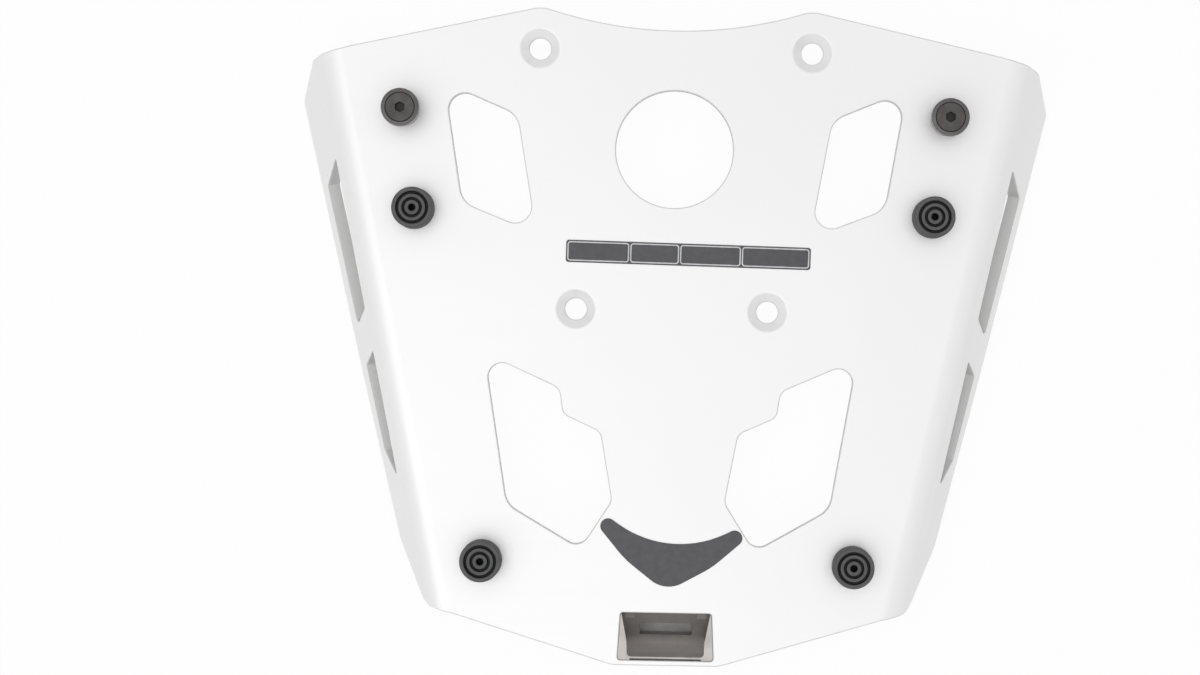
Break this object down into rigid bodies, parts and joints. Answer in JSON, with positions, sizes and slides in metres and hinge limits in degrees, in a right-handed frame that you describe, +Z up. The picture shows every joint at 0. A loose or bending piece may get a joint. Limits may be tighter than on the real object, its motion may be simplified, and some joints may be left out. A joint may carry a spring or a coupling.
{
  "type": "motorcycle top case rack",
  "caption": "Folded aluminium carrier plate for a motorcycle top case, with slotted side flanges, mushroom case pins, ringed rubber pads and a cast rear catch pocket.",
  "frame": {"origin": "centre of the bounding box at its bottom, which is the surface that the flange feet and the catch stand on", "axes": "+Y points to the front of the bike, +Z up, +X to the rider's right"},
  "size_m": [0.3256, 0.2793, 0.0551],
  "materials": {
    "plate": "fine blasted and clear anodised, satin",
    "pin": "black, satin",
    "screw": "blackened",
    "fixing": "bright zinc",
    "rubber": "matt, moulded",
    "catch": "cast, warm grey, satin",
    "film": "printed film, satin"
  },
  "bodies": {
    "root": {"rack_plate": "plate", "case_pin_left": "pin", "case_pin_right": "pin", "pin_screw_left": "screw", "pin_screw_right": "screw", "pin_washer_left": "fixing", "pin_washer_right": "fixing", "pin_nut_left": "fixing", "pin_nut_right": "fixing", "rubber_pad_front_left": "rubber", "rubber_pad_front_right": "rubber", "rubber_pad_rear_left": "rubber", "rubber_pad_rear_right": "rubber", "catch_housing": "catch", "catch_stud_left": "fixing", "catch_stud_right": "fixing", "catch_nut_left": "fixing", "catch_nut_right": "fixing", "badge": "film", "label_strip": "film"}
  },
  "joints": []
}
